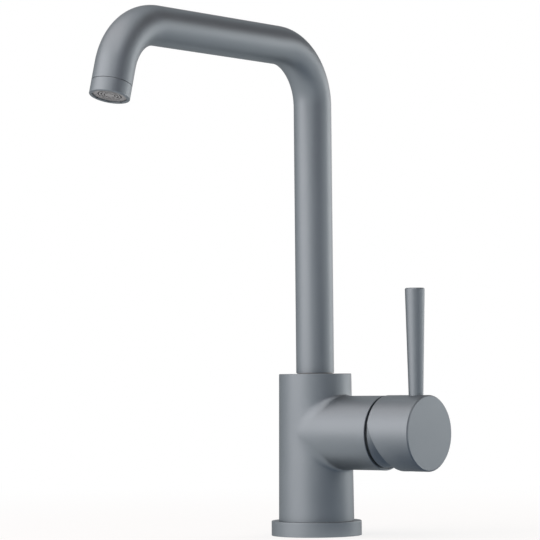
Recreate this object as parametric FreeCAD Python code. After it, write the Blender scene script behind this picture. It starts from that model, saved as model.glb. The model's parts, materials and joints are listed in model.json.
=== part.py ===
import FreeCAD
import Part
import math
import os

# Single-lever kitchen tap with a swivelling square spout, in millimetres.
# The origin is on the worktop, under the riser. +Z is up, the spout points to -Y
# and the lever stands on a branch that points to +X.

# Clearances
running_gap = 0.05
fit_gap = 0.1
free_gap = 0.3
cut_margin = 1.0

# Cartridge, whose pieces stack outwards along the branch from its seat
seat_distance = 22.0
cartridge_radius = 17.5
cartridge_wall = 1.1
cartridge_base_thickness = 6.0
locating_pin_radius = 1.4
locating_pin_length = 2.0
locating_pin_inset = 3.9
port_radius = 2.6
port_spread = 6.8
inlet_port_rise = 4.5
outlet_port_drop = 4.0
seal_width = 1.5
seal_thickness = 1.5
disc_thickness = 4.0
fixed_disc_inset = 2.0
disc_key_width = 4.0
disc_key_bite = 1.2
disc_key_length = 2.2
mixing_pocket_depth = 2.4
mixing_pocket_reach = 2.6
carrier_thickness = 5.0
guide_flange_thickness = 2.6
guide_rib_height = 1.9
guide_rib_width = 2.4
guide_rib_length = 10.0
guide_rib_offset = 8.2
shoulder_plate = 4.15
neck_radius = 14.5
neck_wall = 1.9
neck_length = 8.0

# Lever stem, which tips on a pin in the cartridge's neck
pivot_rise = 2.0
pivot_pin_radius = 2.0
stem_side = 8.0
stem_tail = 5.0
stem_neck_side = 5.0
stem_ball_radius = 3.2
stem_ball_depth = 1.05
stem_engagement = 8.4
flow_angle = 25.0

# Nut over the cartridge, and the dome that covers it
nut_thread_depth = 1.5
nut_thread_runout = 1.0
nut_thickness = 5.5
nut_slot_width = 4.0
nut_slot_depth = 2.0
nut_cover_gap = 0.9
dome_wall = 1.5
dome_depth = 8.0
dome_skirt_length = 3.6
dome_lift = 1.3
dome_groove = 1.4
dome_recess_depth = 1.2
dome_recess_wall = 0.9

# Cast body and its branch
body_top = 106.0
body_draft = 0.535
body_chamfer = 0.35
branch_height = 67.3
branch_wall = 5.0
branch_inset = 0.15
branch_chamfer = 0.3
branch_saddle_fillet = 1.5
branch_side_fillet = 24.0
hose_bay_height = 42.0
inlet_thread_radius = 4.5
inlet_thread_depth = 12.0
inlet_offset = 8.5
inlet_passage_radius = 4.0
stud_thread_radius = 3.4
stud_thread_depth = 12.0
stud_offset = 13.8
outlet_passage_offset = 7.0
outlet_passage_radius = 3.5

# Base ring and its seal
base_ring_overhang = 4.9
base_ring_height = 9.6
base_ring_chamfer = 0.35
base_seal_rim = 2.7
base_seal_width = 2.8
base_seal_thickness = 2.2
body_spigot_step = 3.3
body_spigot_wall = 2.0
body_spigot_depth = 7.6

# Hub and lever rod
hub_gap = 2.1
hub_length = 32.3
hub_overhang = 0.3
hub_skirt_wall = 1.55
hub_chamfer = 0.8
hub_back_chamfer = 0.2
hub_cut_angle = 22.0
hub_cut_rise = 6.9
hub_face_wall = 5.0
hub_rim_wall = 4.9
hub_boss_radius = 9.5
hub_web_width = 12.0
rod_from_hub_face = 10.5
rod_length = 68.5
rod_root_radius = 4.7
rod_top_radius = 6.4
rod_top_fillet = 0.9
rod_seat_depth = 1.0
rod_tenon_radius = 3.0
rod_tenon_length = 9.4
grub_from_hub_floor = 4.2
grub_radius = 2.1
grub_length = 8.0
grub_tip_radius = 1.3
grub_tip_length = 1.6
grub_socket_flats = 2.0
plug_radius = 3.5
plug_thickness = 2.4

# Spout
tube_radius = 12.5
tube_wall = 1.5
arm_height = 320.5
arm_reach = 184.0
bend_radius = 37.5
outlet_tilt = 15.0
outlet_length = 49.2

# Foot of the spout, which turns in the body
spigot_step = 0.5
spigot_wall = 2.5
spigot_depth = 25.0
spigot_socket_length = 12.0
o_ring_section = 1.6
o_ring_pitch = 5.0
upper_glide_wall = 1.5
upper_glide_depth = 5.0
upper_glide_lip = 0.55
lower_glide_wall = 1.0
lower_glide_height = 3.0
lock_groove_width = 3.4
lock_groove_depth = 1.5
lock_screw_radius = 2.5
lock_screw_length = 7.0
lock_screw_tip_radius = 1.4
lock_screw_tip_length = 1.75
lock_screw_socket_flats = 2.5
screw_socket_depth = 2.8
screw_chamfer = 0.35

# Aerator, measured upwards from the mouth of the outlet
aerator_height = 8.7
aerator_taper = 0.3
aerator_edge_chamfer = 0.3
aerator_lip_height = 0.9
aerator_lip = 0.35
aerator_seat = 0.25
key_notch_count = 8
key_notch_width = 1.3
key_notch_depth = 0.5
insert_thickness = 2.3
insert_boss_radius = 2.9
insert_ring_count = 3
insert_ring_pitch = 1.85
insert_slot_width = 0.85
insert_rib_width = 0.6
insert_rib_count = 6
jet_flange_thickness = 1.0
jet_body_gap = 0.6
jet_body_height = 4.8
jet_hole_radius = 0.6
jet_hole_inset = 2.4
jet_hole_count = 12
screen_thickness = 0.4
screen_rim = 1.5
screen_hole_side = 0.9
screen_hole_pitch = 1.5
gasket_thickness = 1.2
nipple_wall = 1.8
nipple_socket_length = 10.0

# Places along the branch that follow from the stack
disc_face = seat_distance + cartridge_base_thickness
moving_disc_back = disc_face + disc_thickness + running_gap
carrier_back = moving_disc_back + disc_thickness
carrier_front = carrier_back + carrier_thickness
guide_back = carrier_front + fit_gap
guide_flange_front = guide_back + guide_flange_thickness
neck_start = guide_flange_front + fit_gap
shoulder = neck_start + shoulder_plate
neck_end = shoulder + neck_length
nut_front = shoulder + nut_thickness
branch_length = nut_front + nut_cover_gap + dome_skirt_length
dome_seat = branch_length - dome_recess_depth
dome_rim = branch_length + dome_lift
lever_pivot = shoulder + pivot_rise
ball_place = carrier_front - stem_ball_depth
slide_travel = (lever_pivot - ball_place) * math.radians(flow_angle)

# Radii about the branch's axis
cartridge_bore = cartridge_radius - cartridge_wall
fixed_disc_radius = cartridge_bore - fixed_disc_inset
moving_disc_radius = cartridge_bore - slide_travel - free_gap
neck_bore = neck_radius - neck_wall
guide_radius = neck_bore - running_gap
pocket_radius = cartridge_radius + fit_gap
nut_radius = pocket_radius + nut_thread_depth
branch_radius = nut_radius + branch_wall
dome_recess_radius = branch_radius - dome_recess_wall
dome_neck_radius = dome_recess_radius - dome_groove

# Body radii: its sides lie just outside the branch's, and draw in towards the top
draft_slope = math.tan(math.radians(body_draft))
body_side_radius = branch_radius + branch_inset
body_bottom_radius = body_side_radius + (branch_height - base_ring_height) * draft_slope
body_top_radius = body_side_radius - (body_top - branch_height) * draft_slope
body_spigot_radius = body_bottom_radius - body_spigot_step
hose_bay_radius = body_spigot_radius - body_spigot_wall
base_ring_radius = body_bottom_radius + base_ring_overhang
base_seal_radius = base_ring_radius - base_seal_rim

# Hub places: the dome clears the hub's skirt at every tilt
hub_radius = branch_radius + hub_overhang
hub_back = branch_length + hub_gap
hub_face = hub_back + hub_length
skirt_radius = hub_radius - hub_skirt_wall
dome_radius = math.hypot(hub_back - lever_pivot, skirt_radius) - 2 * free_gap
hub_floor = lever_pivot + dome_radius + 2 * free_gap
stem_end = hub_floor + stem_engagement
rod_distance = hub_face - rod_from_hub_face
grub_distance = hub_floor + grub_from_hub_floor

# Heights about the riser's axis
tube_bore = tube_radius - tube_wall
spigot_radius = tube_bore - spigot_step
spigot_bore = spigot_radius - spigot_wall
socket_radius = spigot_radius + running_gap
tube_bottom = body_top + upper_glide_lip + running_gap
spigot_bottom = body_top - spigot_depth
socket_bottom = spigot_bottom - free_gap
glide_outer_radius = spigot_radius + running_gap + upper_glide_wall
lower_o_ring_height = spigot_bottom + lower_glide_height + 1.5 * o_ring_section + 2 * fit_gap
upper_o_ring_height = lower_o_ring_height + o_ring_pitch
lock_height = 0.5 * (upper_o_ring_height + o_ring_section + body_top - upper_glide_depth)

# Places in the outlet
mouth_centre_y = -(arm_reach + outlet_length * math.sin(math.radians(outlet_tilt)))
mouth_centre_z = arm_height - outlet_length * math.cos(math.radians(outlet_tilt))
housing_bore = tube_bore - aerator_seat
insert_radius = housing_bore - running_gap
insert_top = aerator_lip_height + insert_thickness
gasket_bottom = insert_top + jet_flange_thickness
nipple_bottom = gasket_bottom + gasket_thickness
nipple_bore = tube_bore - nipple_wall
jet_body_radius = nipple_bore - jet_body_gap
screen_bottom = gasket_bottom + jet_body_height


def vector(x, y, z):
    return FreeCAD.Vector(x, y, z)


def turned(profile, angle=360):
    """Solid of revolution about Z from corners given as (radius, height)."""
    corners = [vector(radius, 0, height) for radius, height in profile]
    outline = Part.makePolygon(corners + corners[:1])
    return Part.Face(outline).revolve(vector(0, 0, 0), vector(0, 0, 1), angle)


def ring(inner, outer, bottom, top):
    return turned([(inner, bottom), (outer, bottom), (outer, top), (inner, top)])


def disc(radius, bottom, top, x=0.0, y=0.0):
    return Part.makeCylinder(radius, top - bottom, vector(x, y, bottom))


def block(x_size, y_size, bottom, top, x=0.0, y=0.0):
    """Box centred on (x, y)."""
    corner = vector(x - 0.5 * x_size, y - 0.5 * y_size, bottom)
    return Part.makeBox(x_size, y_size, top - bottom, corner)


def prism(outline, half_width):
    """Prism across X from corners given as (y, z)."""
    corners = [vector(-half_width, y, z) for y, z in outline]
    face = Part.Face(Part.makePolygon(corners + corners[:1]))
    return face.extrude(vector(2 * half_width, 0, 0))


def crossbar(radius, half_length, height):
    """Cylinder along X whose middle is on Z."""
    return Part.makeCylinder(radius, 2 * half_length, vector(-half_length, 0, height), vector(1, 0, 0))


def cut_all(solid, tools):
    for tool in tools:
        solid = solid.cut(tool)
    return solid


def fuse_all(solid, others):
    for other in others:
        solid = solid.fuse(other)
    return solid.removeSplitter()


def around(shape, count, first=0.0):
    """Copies of a shape spread evenly about Z."""
    copies = []
    for index in range(count):
        copy = shape.copy()
        copy.rotate(vector(0, 0, 0), vector(0, 0, 1), first + 360.0 * index / count)
        copies.append(copy)
    return copies


def on_branch(shape):
    """Moves a piece drawn about Z onto the branch: its x goes to +Y, its y up and its z out to +X."""
    placed = shape.copy()
    turn = FreeCAD.Rotation(vector(1, 1, 1), 120)
    placed.Placement = FreeCAD.Placement(vector(0, 0, branch_height), turn).multiply(placed.Placement)
    return placed


def on_outlet(shape):
    """Moves a piece drawn upwards from a mouth at the origin onto the tilted end of the spout."""
    placed = shape.copy()
    turn = FreeCAD.Rotation(vector(1, 0, 0), -outlet_tilt)
    mouth = vector(0, mouth_centre_y, mouth_centre_z)
    placed.Placement = FreeCAD.Placement(mouth, turn).multiply(placed.Placement)
    return placed


def hexagon(across_flats, bottom, top):
    radius = 0.5 * across_flats / math.cos(math.pi / 6)
    corners = []
    for index in range(6):
        angle = math.radians(60 * index)
        corners.append(vector(radius * math.cos(angle), radius * math.sin(angle), bottom))
    face = Part.Face(Part.makePolygon(corners + corners[:1]))
    return face.extrude(vector(0, 0, top - bottom))


def headless_screw(radius, length, tip_radius, tip_length, socket_flats):
    """Screw that points to -Z, with its hexagon socket at the top."""
    body = turned([
        (0, 0), (tip_radius, 0), (tip_radius, tip_length), (radius, tip_length + radius - tip_radius),
        (radius, length - screw_chamfer), (radius - screw_chamfer, length), (0, length),
    ])
    return body.cut(hexagon(socket_flats, length - screw_socket_depth, length))


def base_ring():
    bore = body_spigot_radius + fit_gap
    groove_outer = base_seal_radius + fit_gap
    groove_inner = base_seal_radius - base_seal_width - fit_gap
    groove_top = base_seal_thickness + running_gap
    return turned([
        (bore, 0), (groove_inner, 0), (groove_inner, groove_top), (groove_outer, groove_top),
        (groove_outer, 0), (base_ring_radius, 0), (base_ring_radius, base_ring_height - base_ring_chamfer),
        (base_ring_radius - base_ring_chamfer, base_ring_height), (bore, base_ring_height),
    ])


def base_seal():
    return ring(base_seal_radius - base_seal_width, base_seal_radius, 0, base_seal_thickness)


def side_seams(joined):
    """Seams of the branch on the column that run from its side to its top or bottom."""
    seams = []
    for edge in joined.Edges:
        start = edge.valueAt(edge.FirstParameter)
        middle = edge.valueAt(0.5 * (edge.FirstParameter + edge.LastParameter))
        end = edge.valueAt(edge.LastParameter)
        from_branch_axis = math.hypot(middle.y, middle.z - branch_height)
        on_seam = abs(from_branch_axis - branch_radius) < 0.01 and middle.x < body_bottom_radius
        if on_seam and abs(start.y) > abs(end.y):
            seams.append(edge)
    return seams


def body_outside():
    """Tapered column with its branch, and a cast fillet that is wide at the sides and small above and below."""
    chamfer_radius = body_top_radius - body_chamfer
    column = turned([
        (0, base_ring_height), (body_bottom_radius, base_ring_height),
        (body_top_radius + body_chamfer * draft_slope, body_top - body_chamfer),
        (chamfer_radius, body_top), (0, body_top),
    ])
    half_branch = turned([
        (0, 0), (branch_radius, 0), (branch_radius, branch_length - branch_chamfer),
        (branch_radius - branch_chamfer, branch_length), (0, branch_length),
    ], 180)
    joined = column.fuse([on_branch(half) for half in around(half_branch, 2)])
    return joined.makeFillet(branch_side_fillet, branch_saddle_fillet, side_seams(joined))


def water_ways():
    """Bores from the hose threads to the cartridge seat, and from the seat to the spout."""
    inlet_level = branch_height + inlet_port_rise
    outlet_level = branch_height - outlet_port_drop
    thread_top = hose_bay_height + inlet_thread_depth
    ways = []
    for side in (-1, 1):
        offset = side * inlet_offset
        ways.append(disc(inlet_thread_radius, hose_bay_height, thread_top, 0, offset))
        ways.append(disc(inlet_passage_radius, thread_top, inlet_level + port_radius, 0, offset))
        ways.append(on_branch(disc(port_radius, 0, seat_distance, side * port_spread, inlet_port_rise)))
    ways.append(on_branch(disc(port_radius, -outlet_passage_offset, seat_distance, 0, -outlet_port_drop)))
    ways.append(disc(outlet_passage_radius, outlet_level - port_radius, socket_bottom, -outlet_passage_offset))
    return ways


def mixer_body():
    spigot = disc(body_spigot_radius, base_ring_height - body_spigot_depth, base_ring_height)
    socket = disc(socket_radius, socket_bottom, body_top)
    glide_seat = disc(glide_outer_radius + running_gap, body_top - upper_glide_depth, body_top)
    hose_bay = disc(hose_bay_radius, 0, hose_bay_height)
    stud_hole = disc(stud_thread_radius, hose_bay_height, hose_bay_height + stud_thread_depth, -stud_offset)
    pocket = disc(pocket_radius, seat_distance, branch_length)
    nut_thread = disc(nut_radius + running_gap, shoulder - nut_thread_runout, branch_length)
    dome_recess = disc(dome_recess_radius, dome_seat, branch_length)
    pin_hole = disc(locating_pin_radius + fit_gap, seat_distance - locating_pin_length - fit_gap,
                    seat_distance, 0, cartridge_radius - locating_pin_inset)
    lock_hole = Part.makeCylinder(lock_screw_radius + running_gap, body_bottom_radius,
                                  vector(0, 0, lock_height), vector(0, 1, 0))
    solid = fuse_all(body_outside(), [spigot])
    tools = [socket, glide_seat, hose_bay, stud_hole, lock_hole]
    tools += [on_branch(hole) for hole in (pocket, nut_thread, dome_recess, pin_hole)]
    return cut_all(solid, tools + water_ways())


def spout_line(length):
    """Centre line of the riser, arm and outlet, which ends that far past the second corner."""
    tilt = math.radians(outlet_tilt)
    up = vector(0, 0, 1)
    along = vector(0, -1, 0)
    down = vector(0, -math.sin(tilt), -math.cos(tilt))
    first_corner = vector(0, 0, arm_height)
    second_corner = vector(0, -arm_reach, arm_height)
    edges = []
    here = vector(0, 0, tube_bottom)
    for corner, before, after in ((first_corner, up, along), (second_corner, along, down)):
        turn = before.getAngle(after)
        setback = bend_radius * math.tan(0.5 * turn)
        inwards = (after - before).normalize()
        middle = corner + inwards * (bend_radius / math.cos(0.5 * turn) - bend_radius)
        bend_start = corner - before * setback
        bend_end = corner + after * setback
        edges.append(Part.LineSegment(here, bend_start).toShape())
        edges.append(Part.Arc(bend_start, middle, bend_end).toShape())
        here = bend_end
    edges.append(Part.LineSegment(here, second_corner + down * length).toShape())
    return Part.Wire(edges)


def spout_tube():
    line = spout_line(outlet_length - aerator_height)
    walls = []
    for radius in (tube_radius, tube_bore):
        circle = Part.Circle(vector(0, 0, tube_bottom), vector(0, 0, 1), radius)
        walls.append(line.makePipeShell([Part.Wire(circle.toShape())], True, False))
    return walls[0].cut(walls[1])


def spout_spigot():
    top = tube_bottom + spigot_socket_length
    past = spigot_radius + cut_margin
    solid = turned([
        (spigot_bore, spigot_bottom), (spigot_radius, spigot_bottom), (spigot_radius, tube_bottom),
        (tube_bore, tube_bottom), (tube_bore, top), (spigot_bore, top),
    ])
    glide_top = spigot_bottom + lower_glide_height + fit_gap
    grooves = [ring(spigot_radius - lower_glide_wall, past, spigot_bottom - cut_margin, glide_top)]
    floor = socket_radius - o_ring_section - running_gap
    half = 0.5 * o_ring_section + fit_gap
    for height in (lower_o_ring_height, upper_o_ring_height):
        grooves.append(ring(floor, past, height - half, height + half))
    half = 0.5 * lock_groove_width
    grooves.append(ring(spigot_radius - lock_groove_depth, past, lock_height - half, lock_height + half))
    return cut_all(solid, grooves)


def spout_o_rings():
    half = 0.5 * o_ring_section
    middle = socket_radius - 0.5 * running_gap - half
    rings = []
    for height in (lower_o_ring_height, upper_o_ring_height):
        rings.append(Part.makeTorus(middle, half, vector(0, 0, height)))
    return Part.makeCompound(rings)


def upper_glide_ring():
    inner = spigot_radius + running_gap
    return ring(inner, glide_outer_radius, body_top - upper_glide_depth, body_top + upper_glide_lip)


def lower_glide_ring():
    inner = spigot_radius - lower_glide_wall
    outer = socket_radius - 0.5 * running_gap
    return ring(inner, outer, spigot_bottom, spigot_bottom + lower_glide_height)


def spout_lock_screw():
    """Its tip stands in the spigot's groove, so the spout turns freely but can't lift out."""
    screw = headless_screw(lock_screw_radius, lock_screw_length, lock_screw_tip_radius,
                           lock_screw_tip_length, lock_screw_socket_flats)
    screw.rotate(vector(0, 0, 0), vector(1, 0, 0), -90)
    screw.translate(vector(0, spigot_radius - lock_groove_depth + free_gap, lock_height))
    return screw


def outlet_nipple():
    return on_outlet(ring(nipple_bore, tube_bore, nipple_bottom, aerator_height + nipple_socket_length))


def aerator_housing():
    """Cap that screws onto the outlet, with notches for a key round the inside of its lip."""
    mouth = tube_radius - aerator_taper
    chamfer = aerator_edge_chamfer
    top = aerator_height - fit_gap
    lip_bore = housing_bore - aerator_lip
    thread_bore = tube_bore + running_gap
    cap = turned([
        (lip_bore, 0), (mouth - chamfer, 0), (mouth, chamfer), (tube_radius, top - chamfer),
        (tube_radius - chamfer, top), (thread_bore, top), (thread_bore, gasket_bottom),
        (housing_bore, gasket_bottom), (housing_bore, aerator_lip_height), (lip_bore, aerator_lip_height),
    ])
    notch = block(2 * key_notch_depth, key_notch_width, 0, aerator_lip_height, lip_bore)
    return on_outlet(cut_all(cap, around(notch, key_notch_count)))


def aerator_insert():
    """Outlet face with rings of slots that radial ribs divide."""
    bottom = aerator_lip_height
    plate = disc(insert_radius, bottom, insert_top)
    for index in range(insert_ring_count):
        inner = insert_boss_radius + index * insert_ring_pitch
        slot = ring(inner, inner + insert_slot_width, bottom, insert_top)
        rib = block(insert_radius, insert_rib_width, bottom, insert_top, 0.5 * insert_radius)
        first = 180.0 * index / insert_rib_count
        plate = plate.cut(cut_all(slot, around(rib, insert_rib_count, first)))
    return on_outlet(plate)


def aerator_jet_body():
    """Distributor that breaks the water into fine jets, with its flange on the outlet face."""
    solid = turned([
        (0, insert_top), (insert_radius, insert_top), (insert_radius, gasket_bottom),
        (jet_body_radius, gasket_bottom), (jet_body_radius, screen_bottom), (0, screen_bottom),
    ])
    hole = disc(jet_hole_radius, insert_top, screen_bottom, jet_body_radius - jet_hole_inset)
    return on_outlet(cut_all(solid, around(hole, jet_hole_count)))


def aerator_screen():
    top = screen_bottom + screen_thickness
    net = disc(jet_body_radius, screen_bottom, top)
    reach = jet_body_radius - screen_rim
    steps = int(reach / screen_hole_pitch)
    holes = []
    for column in range(-steps, steps + 1):
        for row in range(-steps, steps + 1):
            x = column * screen_hole_pitch
            y = row * screen_hole_pitch
            if math.hypot(x, y) < reach:
                holes.append(block(screen_hole_side, screen_hole_side, screen_bottom, top, x, y))
    return on_outlet(net.cut(Part.makeCompound(holes)))


def aerator_gasket():
    return on_outlet(ring(jet_body_radius + fit_gap, tube_bore, gasket_bottom, nipple_bottom))


def port_places():
    return [(-port_spread, inlet_port_rise), (port_spread, inlet_port_rise), (0, -outlet_port_drop)]


def disc_keys(disc_radius, back, front, gap):
    """Two lugs that bite into the edge of a disc, or with a gap the notches that take them."""
    reach = 2 * (disc_key_bite + gap)
    width = disc_key_width + 2 * gap
    key = block(reach, width, back, front, disc_radius)
    return around(key, 2)


def cartridge_base():
    solid = disc(cartridge_radius, seat_distance, disc_face)
    pin = disc(locating_pin_radius, seat_distance - locating_pin_length, seat_distance,
               0, cartridge_radius - locating_pin_inset)
    keys = disc_keys(fixed_disc_radius, disc_face, disc_face + disc_key_length, 0)
    solid = fuse_all(solid, [pin] + keys)
    for x, y in port_places():
        seat_radius = port_radius + seal_width + running_gap
        solid = solid.cut(disc(port_radius, seat_distance, disc_face, x, y))
        solid = solid.cut(disc(seat_radius, seat_distance, seat_distance + seal_thickness, x, y))
    return on_branch(solid)


def cartridge_seals():
    seals = []
    for x, y in port_places():
        seal = ring(port_radius, port_radius + seal_width, seat_distance, seat_distance + seal_thickness)
        seal.translate(vector(x, y, 0))
        seals.append(seal)
    return on_branch(Part.makeCompound(seals))


def fixed_disc():
    front = disc_face + disc_thickness
    solid = disc(fixed_disc_radius, disc_face, front)
    ports = [disc(port_radius, disc_face, front, x, y) for x, y in port_places()]
    notches = disc_keys(fixed_disc_radius, disc_face, disc_face + disc_key_length + fit_gap, fit_gap)
    return on_branch(cut_all(solid, ports + notches))


def moving_disc():
    """Its pocket always covers the outlet port, and reaches the inlet ports as the disc slides up."""
    solid = disc(moving_disc_radius, moving_disc_back, carrier_back)
    top = inlet_port_rise - port_radius - free_gap
    bottom = -outlet_port_drop - port_radius - mixing_pocket_reach
    pocket = block(2 * port_radius + port_spread, top - bottom,
                   moving_disc_back, moving_disc_back + mixing_pocket_depth, 0, 0.5 * (top + bottom))
    notches = disc_keys(moving_disc_radius, carrier_back - disc_key_length - fit_gap, carrier_back, fit_gap)
    return on_branch(cut_all(solid, [pocket] + notches))


def guide_ribs(length, top, gap, shift=0.0):
    """Two straight ribs on the carrier, or with a gap the grooves that they slide in."""
    ribs = []
    for place in (-guide_rib_offset, guide_rib_offset):
        ribs.append(block(guide_rib_width + 2 * gap, length, carrier_front, top, place, shift))
    return ribs


def disc_carrier():
    disc_trimmer = disc(moving_disc_radius, moving_disc_back, carrier_front)
    keys = []
    for key in disc_keys(moving_disc_radius, carrier_back - disc_key_length, carrier_back, 0):
        keys.append(key.common(disc_trimmer))
    solid = disc(moving_disc_radius, carrier_back, carrier_front)
    side = 2 * (stem_ball_radius + free_gap)
    solid = solid.cut(block(side, side, carrier_back, carrier_front))
    ribs = guide_ribs(guide_rib_length, carrier_front + guide_rib_height, 0)
    return on_branch(fuse_all(solid, keys + ribs))


def cartridge_housing():
    return on_branch(turned([
        (cartridge_bore, disc_face), (cartridge_radius, disc_face), (cartridge_radius, shoulder),
        (neck_radius, shoulder), (neck_radius, neck_end), (neck_bore, neck_end),
        (neck_bore, neck_start), (cartridge_bore, neck_start),
    ]))


def lever_guide():
    """Turns in the neck with the lever, carries its pivot pin and keeps the disc carrier in line."""
    flange = disc(cartridge_bore - free_gap, guide_back, guide_flange_front)
    solid = fuse_all(flange, [disc(guide_radius, guide_flange_front, neck_end)])
    tilt = math.radians(flow_angle)
    lever_arm = max(lever_pivot - guide_back, neck_end - lever_pivot)
    reach = lever_arm * math.tan(tilt) + 0.5 * stem_side / math.cos(tilt) + free_gap
    slot = block(stem_side + 2 * fit_gap, 2 * reach, guide_back, neck_end)
    groove_length = guide_rib_length + slide_travel + 2 * free_gap
    groove_top = carrier_front + guide_rib_height + fit_gap
    grooves = guide_ribs(groove_length, groove_top, fit_gap, 0.5 * slide_travel)
    pin_hole = crossbar(pivot_pin_radius + running_gap, guide_radius, lever_pivot)
    return on_branch(cut_all(solid, [slot, pin_hole] + grooves))


def pivot_pin():
    return on_branch(crossbar(pivot_pin_radius, guide_radius - fit_gap, lever_pivot))


def cartridge_stem():
    ball = Part.makeSphere(stem_ball_radius, vector(0, 0, ball_place))
    neck = block(stem_neck_side, stem_neck_side, ball_place, lever_pivot - stem_tail)
    shank = block(stem_side, stem_side, lever_pivot - stem_tail, stem_end)
    hole = crossbar(pivot_pin_radius + running_gap, stem_side, lever_pivot)
    return on_branch(fuse_all(ball, [neck, shank]).cut(hole))


def cartridge_nut():
    solid = ring(neck_radius + fit_gap, nut_radius, shoulder, nut_front)
    slot = block(2 * nut_radius, nut_slot_width, nut_front - nut_slot_depth, nut_front)
    return on_branch(cut_all(solid, [slot] + around(slot, 1, 90)))


def dome_collar():
    """Cover over the nut: a sphere about the lever's pivot, on a neck that leaves a groove in the branch's end."""
    middle = vector(0, 0, lever_pivot)
    skirt_outer = nut_radius - running_gap
    skirt_inner = skirt_outer - dome_wall
    shell = disc(hub_radius, dome_rim, branch_length + dome_depth)
    shell = shell.common(Part.makeSphere(dome_radius, middle))
    shell = shell.cut(Part.makeSphere(dome_radius - dome_wall, middle))
    neck = ring(skirt_inner, dome_neck_radius, dome_seat, dome_rim)
    skirt = ring(skirt_inner, skirt_outer, branch_length - dome_skirt_length, dome_seat)
    return on_branch(fuse_all(shell, [neck, skirt]))


def hub_outside():
    """Turned hub with a skirt round the dome, cut slanting underneath so that it can tip."""
    solid = turned([
        (0, hub_floor), (skirt_radius, hub_floor), (skirt_radius, hub_back),
        (hub_radius - hub_back_chamfer, hub_back), (hub_radius, hub_back + hub_back_chamfer),
        (hub_radius, hub_face - hub_chamfer), (hub_radius - hub_chamfer, hub_face), (0, hub_face),
    ])
    low = -hub_radius - cut_margin
    slant = (hub_cut_rise - low) * math.tan(math.radians(hub_cut_angle))
    before = hub_back - cut_margin
    wedge = prism([
        (hub_cut_rise, hub_back), (low, hub_back + slant), (low, before), (hub_cut_rise, before),
    ], hub_radius + cut_margin)
    return solid.cut(wedge)


def lever_hub():
    side = stem_side + 2 * running_gap
    socket = block(side, side, hub_floor, stem_end + free_gap)
    hollow = ring(hub_boss_radius, hub_radius - hub_rim_wall, hub_floor, hub_face - hub_face_wall)
    web = block(hub_web_width, 2 * hub_radius, hub_floor, hub_face)
    up = vector(0, 1, 0)
    seat_bottom = hub_radius - rod_seat_depth
    tenon_bottom = seat_bottom - rod_tenon_length - free_gap
    rod_seat = Part.makeCylinder(rod_root_radius + running_gap, rod_seat_depth + cut_margin,
                                 vector(0, seat_bottom, rod_distance), up)
    tenon_hole = Part.makeCylinder(rod_tenon_radius + running_gap, seat_bottom - tenon_bottom,
                                   vector(0, tenon_bottom, rod_distance), up)
    grub_hole = Part.makeCylinder(grub_radius + running_gap, hub_radius,
                                  vector(0, -hub_radius, grub_distance), up)
    plug_hole = Part.makeCylinder(plug_radius + running_gap, plug_thickness + cut_margin,
                                  vector(0, -hub_radius - cut_margin, grub_distance), up)
    tools = [hollow.cut(web), socket, rod_seat, tenon_hole, grub_hole, plug_hole]
    return on_branch(cut_all(hub_outside(), tools))


def lever_rod():
    """Rod that widens towards its rounded top, with a tenon screwed into the hub."""
    bottom = hub_radius - rod_seat_depth
    tenon_end = bottom - rod_tenon_length
    top = hub_radius + rod_length
    bulge = rod_top_fillet * (1 - math.sqrt(0.5))
    side_end = vector(rod_top_radius, 0, top - rod_top_fillet)
    middle = vector(rod_top_radius - bulge, 0, top - bulge)
    top_start = vector(rod_top_radius - rod_top_fillet, 0, top)
    foot = vector(0, 0, tenon_end)
    side = [foot, vector(rod_tenon_radius, 0, tenon_end), vector(rod_tenon_radius, 0, bottom),
            vector(rod_root_radius, 0, bottom), side_end]
    edges = Part.makePolygon(side).Edges
    edges.append(Part.Arc(side_end, middle, top_start).toShape())
    edges += Part.makePolygon([top_start, vector(0, 0, top), foot]).Edges
    solid = Part.Face(Part.Wire(edges)).revolve(vector(0, 0, 0), vector(0, 0, 1), 360)
    solid.translate(vector(rod_distance, 0, branch_height))
    return solid


def hub_grub_screw():
    screw = headless_screw(grub_radius, grub_length, grub_tip_radius, grub_tip_length, grub_socket_flats)
    screw.rotate(vector(0, 0, 0), vector(1, 0, 0), 180)
    screw.translate(vector(grub_distance, 0, branch_height - 0.5 * stem_side - running_gap))
    return screw


def hub_plug():
    """Soft plug over the screw hole, trimmed to the round of the hub."""
    plug = Part.makeCylinder(plug_radius, plug_thickness, vector(0, -hub_radius, grub_distance),
                             vector(0, 1, 0))
    return on_branch(plug.common(disc(hub_radius - running_gap, hub_floor, hub_face)))


pieces = [
    base_ring, base_seal, mixer_body, spout_tube, spout_spigot, spout_o_rings, upper_glide_ring,
    lower_glide_ring, spout_lock_screw, outlet_nipple, aerator_housing, aerator_insert, aerator_jet_body,
    aerator_screen, aerator_gasket, cartridge_base, cartridge_seals, fixed_disc, moving_disc, disc_carrier,
    cartridge_housing, lever_guide, pivot_pin, cartridge_stem, cartridge_nut, dome_collar, lever_hub,
    lever_rod, hub_grub_screw, hub_plug,
]


def main():
    os.makedirs("parts", exist_ok=True)
    for piece in pieces:
        shape = piece()
        shape.exportStep("parts/" + piece.__name__ + ".step")
        volume = sum(solid.Volume for solid in shape.Solids)
        sound = all(solid.isValid() and solid.isClosed() for solid in shape.Solids)
        print(f"{piece.__name__}: {len(shape.Solids)} solid, {volume / 1000:.2f} cm3, valid {sound}")
    print(f"sides {body_bottom_radius:.2f} to {body_top_radius:.2f}")
    print(f"branch {branch_radius:.2f} by {branch_length:.2f}")
    print(f"pivot {lever_pivot:.2f}, slide {slide_travel:.3f} for {flow_angle} degrees")


main()
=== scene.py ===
import json
import math

import bmesh
import bpy
from mathutils import Euler, Matrix, Vector


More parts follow.
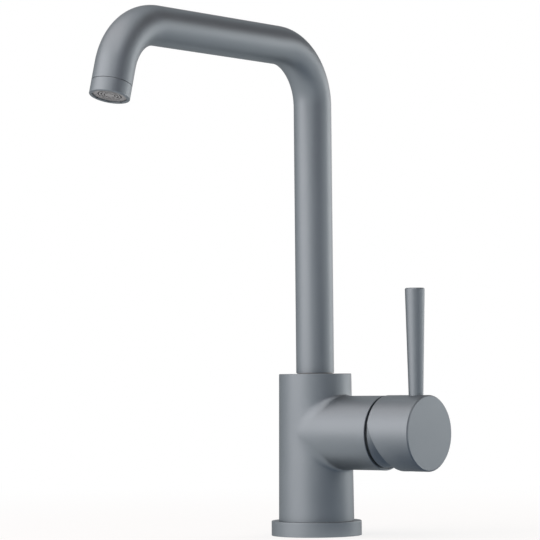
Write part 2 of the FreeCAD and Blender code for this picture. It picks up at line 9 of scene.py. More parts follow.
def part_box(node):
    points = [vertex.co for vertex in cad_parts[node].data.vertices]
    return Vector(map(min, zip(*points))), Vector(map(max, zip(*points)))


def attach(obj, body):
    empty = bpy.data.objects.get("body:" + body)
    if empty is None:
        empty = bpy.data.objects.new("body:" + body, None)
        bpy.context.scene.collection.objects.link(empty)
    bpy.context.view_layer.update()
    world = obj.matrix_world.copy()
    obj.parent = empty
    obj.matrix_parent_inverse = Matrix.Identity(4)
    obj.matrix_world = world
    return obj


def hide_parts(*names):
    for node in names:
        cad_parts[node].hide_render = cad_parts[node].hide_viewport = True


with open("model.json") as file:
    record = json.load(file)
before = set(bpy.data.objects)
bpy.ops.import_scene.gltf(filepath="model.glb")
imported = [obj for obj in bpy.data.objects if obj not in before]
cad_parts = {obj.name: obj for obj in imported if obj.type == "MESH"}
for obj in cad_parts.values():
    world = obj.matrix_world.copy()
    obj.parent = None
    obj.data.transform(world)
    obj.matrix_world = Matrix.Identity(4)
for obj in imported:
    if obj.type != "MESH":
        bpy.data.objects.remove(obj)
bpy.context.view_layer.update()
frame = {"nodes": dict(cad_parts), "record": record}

print("frame loaded,", len(frame["nodes"]), "nodes")

# Lengths are in metres and angles in degrees; only lens and sensor are in millimetres

# Camera, at the photograph's viewing angle. Azimuth 0 looks along +Y
shot = {
    "azimuth": 38.308,
    "distance": 1.60746,
    "height": 0.101195,
    "yaw": -1.040,
    "pitch": 2.625,
    "roll": 0.537,
    "lens": 162.118,
    "sensor": 36.0,
    "clip": (0.05, 40.0),
}


def placeCamera(shot):
    camera = bpy.data.objects.new("tapCamera", bpy.data.cameras.new("tapCamera"))
    bpy.context.scene.collection.objects.link(camera)
    camera.data.lens = shot["lens"]
    camera.data.sensor_width = shot["sensor"]
    camera.data.clip_start, camera.data.clip_end = shot["clip"]
    around = math.radians(shot["azimuth"])
    heading = math.radians(shot["azimuth"] - shot["yaw"])
    look = Euler((math.radians(90 + shot["pitch"]), 0, heading)).to_matrix()
    look = look @ Matrix.Rotation(-math.radians(shot["roll"]), 3, "Z")
    camera.rotation_euler = look.to_euler()
    camera.location = (
        shot["distance"] * math.sin(around), -shot["distance"] * math.cos(around), shot["height"],
    )
    bpy.context.scene.camera = camera


placeCamera(shot)
print("camera placed")


# Node trees, for finishes and for Geometry Nodes alike
def addNode(tree, kind, settings=None, inputs=None):
    node = tree.nodes.new(kind)
    for name, value in (settings or {}).items():
        setattr(node, name, value)
    for name, value in (inputs or {}).items():
        if isinstance(value, bpy.types.NodeSocket):
            tree.links.new(value, node.inputs[name])
        else:
            node.inputs[name].default_value = value
    return node


def newFinish(name, constants):
    finish = bpy.data.materials.new(name)
    finish.use_nodes = True
    shader = finish.node_tree.nodes["Principled BSDF"]
    for socket, value in constants.items():
        shader.inputs[socket].default_value = value
    return finish, finish.node_tree, shader


def noiseOf(tree, size, detail, stretch=(1.0, 1.0, 1.0)):
    place = addNode(tree, "ShaderNodeTexCoord").outputs["Object"]
    spread = addNode(tree, "ShaderNodeMapping", inputs={"Vector": place, "Scale": stretch})
    noise = addNode(tree, "ShaderNodeTexNoise", inputs={
        "Vector": spread.outputs["Vector"], "Scale": 1 / size, "Detail": detail,
    })
    return noise.outputs["Fac"]


noiseSpan = (0.3, 0.7)      # most values of a noise lie between these


def spanOf(tree, noise, low, high):
    span = addNode(tree, "ShaderNodeMapRange", inputs={
        "Value": noise, "From Min": noiseSpan[0], "From Max": noiseSpan[1], "To Min": low, "To Max": high,
    })
    return span.outputs["Result"]


def tintBy(tree, shader, noise, colour, changes):
    blend = addNode(tree, "ShaderNodeMix", {"data_type": "RGBA"})
    tree.links.new(spanOf(tree, noise, 0.0, 1.0), blend.inputs["Factor"])
    for socket, change in zip((6, 7), changes):      # the node's two colours
        blend.inputs[socket].default_value = (*[channel * (1 + change) for channel in colour], 1.0)
    tree.links.new(blend.outputs[2], shader.inputs["Base Color"])


def glossBy(tree, shader, noise, roughness, changes):
    span = spanOf(tree, noise, roughness + changes[0], roughness + changes[1])
    tree.links.new(span, shader.inputs["Roughness"])


def bumpBy(tree, shader, noise, strength, depth):
    bump = addNode(tree, "ShaderNodeBump", inputs={"Height": noise, "Strength": strength, "Distance": depth})
    tree.links.new(bump.outputs["Normal"], shader.inputs["Normal"])


# Satin coat of the whole outside: blue-grey, with a fine powdery grain and faint clouds in colour and gloss
tapCoat = {
    "colour": (0.21, 0.24, 0.265),
    "metallic": 0.85,
    "roughness": 0.47,
    "edgeTint": (0.35, 0.35, 0.35, 1.0),      # darkens its gloss towards the outline
    "cloudSize": 0.018,
    "cloudTints": (-0.02, 0.02),
    "cloudGloss": (-0.02, 0.02),
    "grainSize": 0.0009,
    "grainStrength": 0.35,
    "grainDepth": 0.00004,
}


def satinCoat(name, look):
    finish, tree, shader = newFinish(name, {"Metallic": look["metallic"], "Specular Tint": look["edgeTint"]})
    clouds = noiseOf(tree, look["cloudSize"], detail=3.0)
    grain = noiseOf(tree, look["grainSize"], detail=2.0)
    tintBy(tree, shader, clouds, look["colour"], look["cloudTints"])
    glossBy(tree, shader, clouds, look["roughness"], look["cloudGloss"])
    bumpBy(tree, shader, grain, look["grainStrength"], look["grainDepth"])
    return finish


# Turned metal: its lines are noise, stretched along the turning
turnedLines = {
    "size": 0.0012, "tints": (-0.12, 0.06), "gloss": (-0.06, 0.08), "strength": 0.3, "depth": 0.00003,
}


def turnedMetal(name, colour, roughness, stretch):
    finish, tree, shader = newFinish(name, {"Metallic": 1.0})
    lines = noiseOf(tree, turnedLines["size"], detail=2.0, stretch=stretch)
    tintBy(tree, shader, lines, colour, turnedLines["tints"])
    glossBy(tree, shader, lines, roughness, turnedLines["gloss"])
    bumpBy(tree, shader, lines, turnedLines["strength"], turnedLines["depth"])
    return finish


# Moulded plastic: soft clouds in its colour, a fine grain in its gloss
mouldedGrain = {
    "ior": 1.48, "cloudSize": 0.006, "tints": (-0.03, 0.03),
    "grainSize": 0.0005, "gloss": (-0.05, 0.05), "strength": 0.25, "depth": 0.00003,
}


def mouldedPlastic(name, colour, roughness):
    finish, tree, shader = newFinish(name, {"IOR": mouldedGrain["ior"]})
    clouds = noiseOf(tree, mouldedGrain["cloudSize"], detail=2.0)
    grain = noiseOf(tree, mouldedGrain["grainSize"], detail=1.0)
    tintBy(tree, shader, clouds, colour, mouldedGrain["tints"])
    glossBy(tree, shader, grain, roughness, mouldedGrain["gloss"])
    bumpBy(tree, shader, grain, mouldedGrain["strength"], mouldedGrain["depth"])
    return finish


# Rubber of the seals, with a pale bloom on it
sealBloom = {
    "ior": 1.5, "size": 0.003, "tints": (0.0, 0.6),
    "roughness": 0.55, "gloss": (0.0, 0.17), "strength": 0.2, "depth": 0.00005,
}


def sealRubber(name, colour):
    finish, tree, shader = newFinish(name, {"IOR": sealBloom["ior"]})
    bloom = noiseOf(tree, sealBloom["size"], detail=3.0)
    tintBy(tree, shader, bloom, colour, sealBloom["tints"])
    glossBy(tree, shader, bloom, sealBloom["roughness"], sealBloom["gloss"])
    bumpBy(tree, shader, bloom, sealBloom["strength"], sealBloom["depth"])
    return finish


# Lapped ceramic of the two discs, nearly a mirror
ceramicSpecks = {"ior": 1.76, "size": 0.0004, "tints": (-0.05, 0.0), "roughness": 0.08, "gloss": (0.0, 0.08)}


def lappedCeramic(name, colour):
    finish, tree, shader = newFinish(name, {"IOR": ceramicSpecks["ior"]})
    specks = noiseOf(tree, ceramicSpecks["size"], detail=1.0)
    tintBy(tree, shader, specks, colour, ceramicSpecks["tints"])
    glossBy(tree, shader, specks, ceramicSpecks["roughness"], ceramicSpecks["gloss"])
    return finish


finishes = {
    "tap_finish": satinCoat("tapCoat", tapCoat),
    "bare_brass": turnedMetal(
        "bareBrass", colour=(0.72, 0.55, 0.30), roughness=0.30, stretch=(0.25, 0.25, 2.0),
    ),
    "steel": turnedMetal("steel", colour=(0.60, 0.61, 0.62), roughness=0.28, stretch=(2.0, 0.5, 0.5)),
    "disc_ceramic": lappedCeramic("discCeramic", colour=(0.86, 0.86, 0.83)),
    "cartridge_plastic": mouldedPlastic("cartridgePlastic", colour=(0.78, 0.78, 0.75), roughness=0.45),
    "carrier_plastic": mouldedPlastic("carrierPlastic", colour=(0.10, 0.20, 0.36), roughness=0.42),
    "glide_plastic": mouldedPlastic("glidePlastic", colour=(0.16, 0.17, 0.18), roughness=0.45),
    "aerator_plastic": mouldedPlastic("aeratorPlastic", colour=(0.18, 0.19, 0.20), roughness=0.40),
    "seal_rubber": sealRubber("sealRubber", colour=(0.012, 0.012, 0.013)),
    "plug_plastic": mouldedPlastic("plugPlastic", colour=(0.17, 0.18, 0.20), roughness=0.38),
}


def dressFrame():
    for part in frame["record"]["subparts"]:
        node = frame["nodes"][part["node"]]
        for holder in node.material_slots:
            holder.material = finishes[part["material_slot"]]


dressFrame()
print("finishes on,", len(finishes))

sharpAngle = 35      # degrees; a steeper edge stays sharp


# Pieces: each mesh lies where the frame's own node lies, and stands for it
def addPiece(name, mesh, body, slot, replaced):
    piece = bpy.data.objects.new(name, mesh)
    bpy.context.scene.collection.objects.link(piece)
    mesh.materials.clear()
    mesh.materials.append(finishes[slot])
    mesh.shade_smooth()
    mesh.set_sharp_from_angle(angle=math.radians(sharpAngle))
    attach(piece, body)
    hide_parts(replaced)


# Cast and turned bodies that are close to the eye: a merged copy of the frame's mesh, so that its round faces
# shade without seams
smoothedBodies = {
    "castBody": {"node": "mixer_body", "body": "mixer"},
    "domeCover": {"node": "dome_collar", "body": "mixer"},
    "knobHub": {"node": "lever_hub", "body": "lever"},
}
mergeReach = 0.000001


def makeSmoothedBody(name, source):
    drawn = frame["nodes"][source["node"]].data
    places = [vertex.co for vertex in drawn.vertices]
    mesh = bpy.data.meshes.new(name)
    mesh.from_pydata(places, [], [face.vertices for face in drawn.polygons])
    shape = bmesh.new()
    shape.from_mesh(mesh)
    bmesh.ops.remove_doubles(shape, verts=shape.verts, dist=mergeReach)
    shape.to_mesh(mesh)
    shape.free()
    addPiece(name, mesh, source["body"], "tap_finish", source["node"])


for name, source in smoothedBodies.items():
    makeSmoothedBody(name, source)
print("bodies smoothed,", len(smoothedBodies))


# A turned outline is a list of (radius, height, rounding); short flats beside each rounding hold its shading
def roundOutline(corners, steps=5, hold=0.0004):
    outline = []
    for index, (radius, height, rounding) in enumerate(corners):
        here = Vector((radius, height))
        if rounding == 0:
            outline.append(here)
            continue
        back = (Vector(corners[index - 1][:2]) - here).normalized()
        ahead = (Vector(corners[(index + 1) % len(corners)][:2]) - here).normalized()
        half = 0.5 * back.angle(ahead)
        setback = rounding / math.tan(half)
        centre = here + (back + ahead).normalized() * rounding / math.sin(half)
        first, last = here + back * setback - centre, here + ahead * setback - centre
        outline.append(here + back * (setback + hold))
        for step in range(steps + 1):
            outline.append(centre + first.lerp(last, step / steps).normalized() * rounding)
        outline.append(here + ahead * (setback + hold))
    return outline


def turnOutline(name, outline, place=Matrix(), sides=128):
    shape = bmesh.new()
    turns = [2 * math.pi * side / sides for side in range(sides)]
    rings = []
    for radius, height in outline:
        if radius == 0:
            rings.append([shape.verts.new((0, 0, height))])      # a pole
            continue
        ring = [(radius * math.cos(turn), radius * math.sin(turn), height) for turn in turns]
        rings.append([shape.verts.new(point) for point in ring])
    for lower, upper in zip(rings, rings[1:] + rings[:1]):
        for side in range(sides):
            after = (side + 1) % sides
            corners = [lower[side % len(lower)], lower[after % len(lower)],
                       upper[after % len(upper)], upper[side % len(upper)]]
            corners = list(dict.fromkeys(corners))
            if len(corners) > 2:
                shape.faces.new(corners)
    bmesh.ops.recalc_face_normals(shape, faces=shape.faces)
    shape.transform(place)
    mesh = bpy.data.meshes.new(name)
    shape.to_mesh(mesh)
    shape.free()
    return mesh


# Foot ring, with the groove underneath that holds its seal
footRing = {
    "bore": 0.02159,
    "topRounding": 0.0005,
    "edgeRounding": 0.00025,
    "sealWidth": 0.0028,
    "sealGap": 0.0001,
}


def makeFootRing(ring):
    outer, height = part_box("base_ring")[1][0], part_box("base_ring")[1][2]
    sealOuter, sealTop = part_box("base_seal")[1][0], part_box("base_seal")[1][2]
    grooveTop = sealTop + ring["sealGap"]
    grooveOuter = sealOuter + ring["sealGap"]
    grooveInner = sealOuter - ring["sealWidth"] - ring["sealGap"]
    outline = roundOutline([
        (ring["bore"], 0, 0), (grooveInner, 0, 0), (grooveInner, grooveTop, 0), (grooveOuter, grooveTop, 0),
        (grooveOuter, 0, 0), (outer, 0, ring["edgeRounding"]), (outer, height, ring["topRounding"]),
        (ring["bore"], height, 0),
    ])
    addPiece("footRing", turnOutline("footRing", outline), "mixer", "tap_finish", "base_ring")


makeFootRing(footRing)

# Handle rod, thin where it stands in the hub and widening to its rounded top
handleRod = {
    "rootRadius": 0.0047,
    "rootRounding": 0.0003,
    "tenonRadius": 0.0030,
    "tenonLength": 0.0094,
    "topRounding": 0.0010,
    "sides": 96,
}


def makeHandleRod(rod):
    low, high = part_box("lever_rod")
    middle, topRadius = 0.5 * (low[0] + high[0]), 0.5 * (high[0] - low[0])
    root = low[2] + rod["tenonLength"]
    outline = roundOutline([
        (0, low[2], 0), (rod["tenonRadius"], low[2], 0), (rod["tenonRadius"], root, 0),
        (rod["rootRadius"], root, rod["rootRounding"]), (topRadius, high[2], rod["topRounding"]),
        (0, high[2], 0),
    ])
    mesh = turnOutline("handleRod", outline, Matrix.Translation((middle, 0, 0)), rod["sides"])
    addPiece("handleRod", mesh, "lever", "tap_finish", "lever_rod")


makeHandleRod(handleRod)
print("foot ring and handle turned")


# Geometry Nodes helpers
def newShapeTree(name, sizes):
    tree = bpy.data.node_groups.new(name, "GeometryNodeTree")
    tree.interface.new_socket("Geometry", in_out="INPUT", socket_type="NodeSocketGeometry")
    for label, value in sizes.items():
        kind = "NodeSocketInt" if isinstance(value, int) else "NodeSocketFloat"
        tree.interface.new_socket(label, in_out="INPUT", socket_type=kind)
    tree.interface.new_socket("Geometry", in_out="OUTPUT", socket_type="NodeSocketGeometry")
    return tree, addNode(tree, "NodeGroupInput").outputs


def endShapeTree(tree, geometry, finish):
    whole = addNode(tree, "GeometryNodeRealizeInstances", inputs={"Geometry": geometry})
    coated = addNode(tree, "GeometryNodeSetMaterial", inputs={
        "Geometry": whole.outputs[0], "Material": finish,
    })
    addNode(tree, "NodeGroupOutput", inputs={"Geometry": coated.outputs[0]})


def reckon(tree, operation, *values):
    return addNode(tree, "ShaderNodeMath", {"operation": operation}, dict(enumerate(values))).outputs[0]


def combine(tree, operation, *values):
    return addNode(tree, "ShaderNodeVectorMath", {"operation": operation}, dict(enumerate(values))).outputs[0]


def pointAt(tree, **parts):
    parts = {axis.upper(): value for axis, value in parts.items()}
    return addNode(tree, "ShaderNodeCombineXYZ", inputs=parts).outputs[0]


def ownPlace(tree):
    place = addNode(tree, "GeometryNodeInputPosition").outputs[0]
    return addNode(tree, "ShaderNodeSeparateXYZ", inputs={0: place}).outputs


def meshFromTree(name, tree, sizes, start=None):
    maker = bpy.data.objects.new(name, start or bpy.data.meshes.new(name))
    bpy.context.scene.collection.objects.link(maker)
    modifier = maker.modifiers.new(name, "NODES")
    modifier.node_group = tree
    for socket in tree.interface.items_tree:
        if socket.in_out == "INPUT" and socket.name in sizes:
            modifier[socket.identifier] = sizes[socket.name]
    made = maker.evaluated_get(bpy.context.evaluated_depsgraph_get())
    mesh = bpy.data.meshes.new_from_object(made)
    bpy.data.objects.remove(maker)                               # its modifier goes with it
    return mesh


# Spout: a hollow pipe laid along a line of three straights with two rounded corners
spoutLine = {
    "reach": 0.184,
    "bend": 0.0375,
    "tilt": 15.0,
    "outlet": 0.0492,
    "bore": 0.0110,
    "capHeight": 0.0087,
    "bendSteps": 40,
    "sides": 96,
    "rings": 260,
    "mergeReach": 0.00001,
}
spoutLow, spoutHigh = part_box("spout_tube")
spoutRadius = spoutHigh[0]
armHeight = spoutHigh[2] - spoutRadius
tubeEnd = spoutLine["outlet"] - spoutLine["capHeight"]


def spoutTree(sizes):
    tree, given = newShapeTree("layPipe", sizes)
    tilt = reckon(tree, "RADIANS", given["Tilt"])
    pastReach = reckon(tree, "MULTIPLY", given["Outlet"], reckon(tree, "SINE", tilt))
    drop = reckon(tree, "MULTIPLY", given["Outlet"], reckon(tree, "COSINE", tilt))
    corners = [
        pointAt(tree, z=given["Bottom"]),
        pointAt(tree, z=given["Arm Height"]),
        pointAt(tree, y=reckon(tree, "MULTIPLY", given["Reach"], -1.0), z=given["Arm Height"]),
        pointAt(tree, y=reckon(tree, "MULTIPLY", reckon(tree, "ADD", given["Reach"], pastReach), -1.0),
                z=reckon(tree, "SUBTRACT", given["Arm Height"], drop)),
    ]
    pick = addNode(tree, "GeometryNodeIndexSwitch", {"data_type": "VECTOR"})
    for _ in corners[2:]:
        pick.index_switch_items.new()
    tree.links.new(addNode(tree, "GeometryNodeInputIndex").outputs[0], pick.inputs["Index"])
    for index, corner in enumerate(corners):
        tree.links.new(corner, pick.inputs[str(index)])
    knots = addNode(tree, "GeometryNodeMeshLine", inputs={"Count": len(corners)}).outputs[0]
    bent = addNode(tree, "GeometryNodeSetPosition", inputs={"Geometry": knots, "Position": pick.outputs[0]})
    line = addNode(tree, "GeometryNodeMeshToCurve", inputs={"Mesh": bent.outputs[0]})
    line = addNode(tree, "GeometryNodeFilletCurve", {"mode": "POLY"}, {
        "Curve": line.outputs[0], "Count": given["Bend Steps"], "Radius": given["Bend"], "Limit Radius": True,
    })
    line = addNode(tree, "GeometryNodeResampleCurve", inputs={
        "Curve": line.outputs[0], "Count": given["Rings"],
    }).outputs[0]
    length = addNode(tree, "GeometryNodeCurveLength", inputs={"Curve": line}).outputs[0]

    # Straight pipe, of an outer and an inner wall with a rim at either end
    walls = []
    for radius, inside in ((given["Radius"], False), (given["Bore"], True)):
        wall = addNode(tree, "GeometryNodeMeshCylinder", {"fill_type": "NONE"}, {
            "Vertices": given["Sides"], "Side Segments": given["Rings"], "Radius": radius, "Depth": length,
        }).outputs["Mesh"]
        if inside:
            wall = addNode(tree, "GeometryNodeFlipFaces", inputs={"Mesh": wall}).outputs[0]
        walls.append(wall)
    half = reckon(tree, "MULTIPLY", length, 0.5)
    for sign, below in ((1.0, False), (-1.0, True)):
        rim = addNode(tree, "GeometryNodeMeshCone", {"fill_type": "NONE"}, {
            "Vertices": given["Sides"], "Radius Top": given["Bore"], "Radius Bottom": given["Radius"],
            "Depth": 0.0,
        }).outputs["Mesh"]
        if below:
            rim = addNode(tree, "GeometryNodeFlipFaces", inputs={"Mesh": rim}).outputs[0]
        shift = pointAt(tree, z=reckon(tree, "MULTIPLY", half, sign))
        rim = addNode(tree, "GeometryNodeTransform", inputs={"Geometry": rim, "Translation": shift})
        walls.append(rim.outputs[0])
    joined = addNode(tree, "GeometryNodeJoinGeometry")
    for wall in walls:
        tree.links.new(wall, joined.inputs[0])
    pipe = addNode(tree, "GeometryNodeMergeByDistance", inputs={
        "Geometry": joined.outputs[0], "Distance": spoutLine["mergeReach"],
    })

    # Each ring of the pipe goes to its place along the line
    here = ownPlace(tree)
    along = addNode(tree, "GeometryNodeSampleCurve", {"mode": "LENGTH", "use_all_curves": True}, {
        "Curves": line, "Length": reckon(tree, "ADD", here["Z"], half),
    })
    across = combine(tree, "CROSS_PRODUCT", along.outputs["Tangent"], (1.0, 0.0, 0.0))
    outwards = addNode(tree, "ShaderNodeVectorMath", {"operation": "SCALE"}, {0: across, "Scale": here["Y"]})
    centre = combine(tree, "ADD", along.outputs["Position"], outwards.outputs[0])
    laid = combine(tree, "ADD", centre, pointAt(tree, x=here["X"]))
    spout = addNode(tree, "GeometryNodeSetPosition", inputs={"Geometry": pipe.outputs[0], "Position": laid})
    endShapeTree(tree, spout.outputs[0], finishes["tap_finish"])
    return tree


def makeSpout(line):
    sizes = {
        "Bottom": spoutLow[2], "Arm Height": armHeight, "Reach": line["reach"], "Bend": line["bend"],
        "Tilt": line["tilt"], "Outlet": tubeEnd, "Radius": spoutRadius, "Bore": line["bore"],
        "Bend Steps": line["bendSteps"], "Sides": line["sides"], "Rings": line["rings"],
    }
    mesh = meshFromTree("spoutPipe", spoutTree(sizes), sizes)
    addPiece("spoutPipe", mesh, "spout", "tap_finish", "spout_tube")


makeSpout(spoutLine)
print("spout laid")

# Outlet: pieces drawn upwards from the mouth, then set on the tilted end of the spout
mouthTilt = math.radians(spoutLine["tilt"])
mouthCentre = Vector((
    0, -spoutLine["reach"] - spoutLine["outlet"] * math.sin(mouthTilt),
    armHeight - spoutLine["outlet"] * math.cos(mouthTilt),
))
onOutlet = Matrix.Translation(mouthCentre) @ Matrix.Rotation(-mouthTilt, 4, "X")

# Mouth cap, with notches for a key round the inside of its lip
mouthCap = {
    "mouthRadius": 0.0125,
    "lipBore": 0.0104,
    "lipHeight": 0.0009,
    "lipRounding": 0.00015,
    "seatBore": 0.01075,
    "stepHeight": 0.0042,
    "seam": 0.0001,
    "edgeRounding": 0.0004,
    "edgeHold": 0.0002,
    "notches": 8,
    "notchWidth": 0.0013,
    "notchDepth": 0.0005,
}


def notchTree(sizes):
    tree, given = newShapeTree("cutNotches", sizes)
    places = addNode(tree, "GeometryNodeMeshCircle", inputs={
        "Vertices": given["Notches"], "Radius": given["Lip Bore"],
    })
    step = reckon(tree, "DIVIDE", 2 * math.pi, given["Notches"])
    turn = reckon(tree, "MULTIPLY", addNode(tree, "GeometryNodeInputIndex").outputs[0], step)
    size = pointAt(tree, x=reckon(tree, "MULTIPLY", given["Depth"], 2.0), y=given["Width"],
                   z=reckon(tree, "MULTIPLY", given["Lip Height"], 2.0))
    cutter = addNode(tree, "GeometryNodeMeshCube", inputs={"Size": size})
    spread = addNode(tree, "GeometryNodeInstanceOnPoints", inputs={
        "Points": places.outputs[0], "Instance": cutter.outputs["Mesh"],
        "Rotation": addNode(tree, "FunctionNodeEulerToRotation", inputs={0: pointAt(tree, z=turn)}).outputs[0],
    })
    cut = addNode(tree, "GeometryNodeMeshBoolean", {"operation": "DIFFERENCE"}, {
        "Mesh 1": given["Geometry"],
        "Mesh 2": addNode(tree, "GeometryNodeRealizeInstances", inputs={0: spread.outputs[0]}).outputs[0],
    })
    endShapeTree(tree, cut.outputs["Mesh"], finishes["tap_finish"])
    return tree


def makeMouthCap(cap):
    top = spoutLine["capHeight"] - cap["seam"]
    threadBore = spoutLine["bore"] + cap["seam"]
    outline = roundOutline([
        (cap["lipBore"], 0, cap["lipRounding"]), (cap["mouthRadius"], 0, cap["edgeRounding"]),
        (spoutRadius, top, cap["edgeRounding"]), (threadBore, top, 0), (threadBore, cap["stepHeight"], 0),
        (cap["seatBore"], cap["stepHeight"], 0), (cap["seatBore"], cap["lipHeight"], 0),
        (cap["lipBore"], cap["lipHeight"], 0),
    ], hold=cap["edgeHold"])
    sizes = {
        "Notches": cap["notches"], "Lip Bore": cap["lipBore"], "Width": cap["notchWidth"],
        "Depth": cap["notchDepth"], "Lip Height": cap["lipHeight"],
    }
    mesh = meshFromTree("mouthCap", notchTree(sizes), sizes, turnOutline("mouthCap", outline))
    mesh.transform(onOutlet)
    addPiece("mouthCap", mesh, "spout", "tap_finish", "aerator_housing")


makeMouthCap(mouthCap)

# Aerator face, with rings of curved slots; each ring is turned half a slot further than the one inside it
aeratorFace = {
    "radius": 0.0107,
    "thickness": 0.0023,
    "slotRings": 3,
    "slots": 6,
    "firstRadius": 0.0029,
    "ringPitch": 0.00185,
    "slotWidth": 0.00085,
    "ribWidth": 0.0006,
    "slotPoints": 13,
}


def slotTree(sizes):
    tree, given = newShapeTree("cutSlots", sizes)
    count = reckon(tree, "MULTIPLY", given["Slot Rings"], given["Slots"])
    points = addNode(tree, "GeometryNodeMeshLine", inputs={"Count": count})
    index = addNode(tree, "GeometryNodeInputIndex").outputs[0]
    ringOf = reckon(tree, "FLOOR", reckon(tree, "DIVIDE", index, given["Slots"]))
    placeOf = reckon(tree, "SUBTRACT", index, reckon(tree, "MULTIPLY", ringOf, given["Slots"]))
    inner = reckon(tree, "ADD", given["First Radius"], reckon(tree, "MULTIPLY", ringOf, given["Ring Pitch"]))
    middle = reckon(tree, "ADD", inner, reckon(tree, "MULTIPLY", given["Slot Width"], 0.5))
    step = reckon(tree, "DIVIDE", 2 * math.pi, given["Slots"])
    shift = reckon(tree, "ADD", reckon(tree, "MULTIPLY", ringOf, 0.5), 0.5)
    turn = reckon(tree, "MULTIPLY", reckon(tree, "ADD", placeOf, shift), step)
    sweep = reckon(tree, "SUBTRACT", step, reckon(tree, "DIVIDE", given["Rib Width"], middle))
    placed = addNode(tree, "GeometryNodeSetPosition", inputs={
        "Geometry": points.outputs[0], "Position": pointAt(tree, x=turn, y=middle),
    })

    # Cutters start as straight bars, x for the angle and y for the radius, and are then curled round
    cutter = addNode(tree, "GeometryNodeMeshCube", inputs={
        "Size": (1.0, 1.0, 1.0), "Vertices X": given["Slot Points"], "Vertices Y": 2, "Vertices Z": 2,
    })
    deep = reckon(tree, "MULTIPLY", given["Thickness"], 2.0)
    spread = addNode(tree, "GeometryNodeInstanceOnPoints", inputs={
        "Points": placed.outputs[0], "Instance": cutter.outputs["Mesh"],
        "Scale": pointAt(tree, x=sweep, y=given["Slot Width"], z=deep),
    })
    straight = addNode(tree, "GeometryNodeRealizeInstances", inputs={0: spread.outputs[0]})
    here = ownPlace(tree)
    curled = addNode(tree, "GeometryNodeSetPosition", inputs={
        "Geometry": straight.outputs[0],
        "Position": pointAt(tree, x=reckon(tree, "MULTIPLY", here["Y"], reckon(tree, "COSINE", here["X"])),
                            y=reckon(tree, "MULTIPLY", here["Y"], reckon(tree, "SINE", here["X"])),
                            z=here["Z"]),
    })
    cut = addNode(tree, "GeometryNodeMeshBoolean", {"operation": "DIFFERENCE"}, {
        "Mesh 1": given["Geometry"], "Mesh 2": curled.outputs[0],
    })
    endShapeTree(tree, cut.outputs["Mesh"], finishes["aerator_plastic"])
    return tree


def makeAeratorFace(face):
    sizes = {
        "Slot Rings": face["slotRings"], "Slots": face["slots"], "First Radius": face["firstRadius"],
        "Ring Pitch": face["ringPitch"], "Slot Width": face["slotWidth"], "Rib Width": face["ribWidth"],
        "Thickness": face["thickness"], "Slot Points": face["slotPoints"],
    }
    half = 0.5 * face["thickness"]
    outline = [(0, -half), (face["radius"], -half), (face["radius"], half), (0, half)]
    mesh = meshFromTree("aeratorFace", slotTree(sizes), sizes, turnOutline("aeratorFace", outline))
    mesh.transform(onOutlet @ Matrix.Translation((0, 0, mouthCap["lipHeight"] + half)))
    addPiece("aeratorFace", mesh, "spout", "aerator_plastic", "aerator_insert")


makeAeratorFace(aeratorFace)
print("outlet made")

# Studio: a pale floor, soft lamps round the tap and cards that only its gloss shows. Lamps and cards are given
# by their direction from the tap, how wide and high they look from it in degrees, and how bright they are
studio = {
    "target": Vector((0.03, -0.06, 0.16)),
    "lampDistance": 1.5,
    "cardDistance": 1.25,
    "ambient": 0.6,
    "floorColour": (0.88, 0.88, 0.88),
    "floorRoughness": 0.9,
    "floorSize": 8.0,
    "floorGlow": 0.75,            # share of plain white in the floor near the tap; far off it is all white
    "floorFade": (0.15, 0.8),
    "sheetCells": 8,
}
lamps = {
    "keySoftbox": {
        "azimuth": -23.5, "elevation": 17, "spread": (62, 48), "level": 1.44, "tint": (1.12, 0.97, 0.92),
    },
    "topSoftbox": {
        "azimuth": -15, "elevation": 66, "spread": (90, 36.5), "level": 0.87, "tint": (1.18, 0.95, 0.87),
    },
    "backSoftbox": {
        "azimuth": 172, "elevation": 9, "spread": (60, 30.5), "level": 2.41, "tint": (1.10, 0.99, 0.91),
    },
    "sideSoftbox": {
        "azimuth": 50, "elevation": 42, "spread": (36, 10), "level": 0.88, "tint": (1.00, 1.00, 1.00),
    },
}
cards = {
    "backCard": {"azimuth": 140, "elevation": 46.5, "spread": (90, 44.6), "glow": (0.19, 0.16, 0.16)},
    "rightCard": {"azimuth": 65, "elevation": 21, "spread": (59, 30), "glow": (0.01, 0.02, 0.08)},
    "farCard": {"azimuth": 218, "elevation": 45, "spread": (60, 50), "glow": (1.00, 0.98, 0.97)},
}
floorCard = {
    "azimuth": 80, "nearest": 0.044, "farthest": 0.9, "width": 0.30, "height": 0.001,
    "glow": (0.145, 0.195, 0.265),
}


def directionOf(azimuth, elevation):
    around, up = math.radians(azimuth), math.radians(elevation)
    return Vector((math.sin(around) * math.cos(up), -math.cos(around) * math.cos(up), math.sin(up)))


def sizeOf(panel, distance):
    return [2 * distance * math.tan(math.radians(0.5 * angle)) for angle in panel["spread"]]


def facingTap(panel, distance):
    back = directionOf(panel["azimuth"], panel["elevation"])
    turn = (-back).to_track_quat("-Z", "Y").to_matrix().to_4x4()
    return Matrix.Translation(studio["target"] + back * distance) @ turn


def addLamp(name, lamp):
    data = bpy.data.lights.new(name, "AREA")
    data.shape = "RECTANGLE"
    data.size, data.size_y = sizeOf(lamp, studio["lampDistance"])
    data.energy = math.pi * data.size * data.size_y * lamp["level"]      # a level of 1 is as bright as white
    data.color = lamp["tint"]
    softbox = bpy.data.objects.new(name, data)
    bpy.context.scene.collection.objects.link(softbox)
    softbox.matrix_world = facingTap(lamp, studio["lampDistance"])


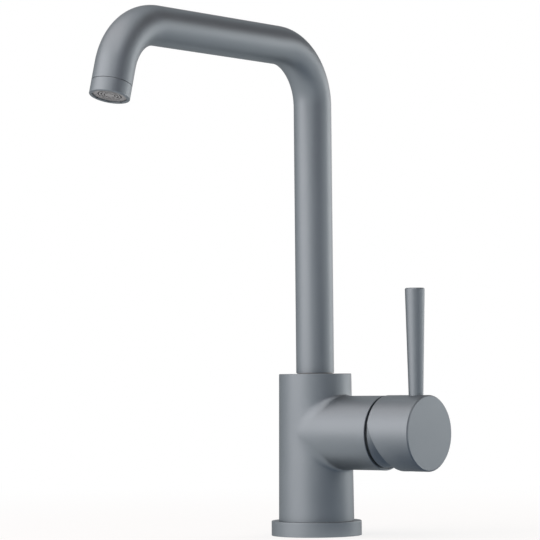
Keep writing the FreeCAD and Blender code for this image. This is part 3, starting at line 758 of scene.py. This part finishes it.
def addSheet(name, width, height, finish, place=Matrix()):
    mesh = bpy.data.meshes.new(name)
    shape = bmesh.new()
    cells = studio["sheetCells"]
    bmesh.ops.create_grid(shape, x_segments=cells, y_segments=cells, size=0.5)
    shape.transform(place @ Matrix.Diagonal((width, height, 1, 1)))
    shape.to_mesh(mesh)
    shape.free()
    sheet = bpy.data.objects.new(name, mesh)
    bpy.context.scene.collection.objects.link(sheet)
    mesh.materials.append(finish)
    return sheet


def addCard(name, width, height, glow, place):
    finish = newFinish(name, {
        "Base Color": (0.0, 0.0, 0.0, 1.0), "Specular IOR Level": 0.0,
        "Emission Color": (*glow, 1.0), "Emission Strength": 1.0,
    })[0]
    card = addSheet(name, width, height, finish, place)
    card.visible_camera = card.visible_diffuse = card.visible_shadow = False
    card.visible_transmission = card.visible_volume_scatter = False


def addCards():
    for name, card in cards.items():
        place = facingTap(card, studio["cardDistance"])
        addCard(name, *sizeOf(card, studio["cardDistance"]), card["glow"], place)


def addFloorCard(card):
    middle = 0.5 * (card["nearest"] + card["farthest"])
    centre = directionOf(card["azimuth"], 0) * middle + Vector((0, 0, card["height"]))
    place = Matrix.Translation(centre) @ Matrix.Rotation(math.radians(card["azimuth"]), 4, "Z")
    addCard("floorCard", card["width"], card["farthest"] - card["nearest"], card["glow"], place)


def seenDirectly(tree):
    paths = addNode(tree, "ShaderNodeLightPath").outputs
    seen = reckon(tree, "MAXIMUM", paths["Is Camera Ray"], paths["Is Glossy Ray"])
    return reckon(tree, "MAXIMUM", seen, paths["Is Transmission Ray"])


def addFloor():
    finish, tree, shader = newFinish("paleFloor", {
        "Base Color": (*studio["floorColour"], 1.0), "Roughness": studio["floorRoughness"],
        "Specular IOR Level": 0.0,
    })
    place = addNode(tree, "ShaderNodeTexCoord").outputs["Object"]
    away = addNode(tree, "ShaderNodeVectorMath", {"operation": "LENGTH"}, {0: place}).outputs["Value"]
    near, far = studio["floorFade"]
    fade = addNode(tree, "ShaderNodeMapRange", {"interpolation_type": "SMOOTHSTEP"}, {
        "Value": away, "From Min": near, "From Max": far, "To Min": studio["floorGlow"], "To Max": 1.0,
    }).outputs["Result"]
    white = addNode(tree, "ShaderNodeEmission", inputs={"Strength": 1.0})
    mixed = addNode(tree, "ShaderNodeMixShader", inputs={
        0: reckon(tree, "MULTIPLY", fade, seenDirectly(tree)), 1: shader.outputs[0], 2: white.outputs[0],
    })
    tree.links.new(mixed.outputs[0], tree.nodes["Material Output"].inputs["Surface"])
    addSheet("floor", studio["floorSize"], studio["floorSize"], finish)


def lightWorld():
    world = bpy.data.worlds.new("studio")
    bpy.context.scene.world = world
    world.use_nodes = True
    tree = world.node_tree
    level = addNode(tree, "ShaderNodeMapRange", inputs={
        "Value": seenDirectly(tree), "To Min": studio["ambient"], "To Max": 1.0,
    })
    background = tree.nodes["Background"]
    background.inputs["Color"].default_value = (1.0, 1.0, 1.0, 1.0)
    tree.links.new(level.outputs["Result"], background.inputs["Strength"])


addFloor()
addCards()
addFloorCard(floorCard)
lightWorld()
for name, lamp in lamps.items():
    addLamp(name, lamp)
bpy.context.scene.view_settings.view_transform = "Standard"
print("studio lit,", len(lamps), "lamps and", len(cards) + 1, "cards")
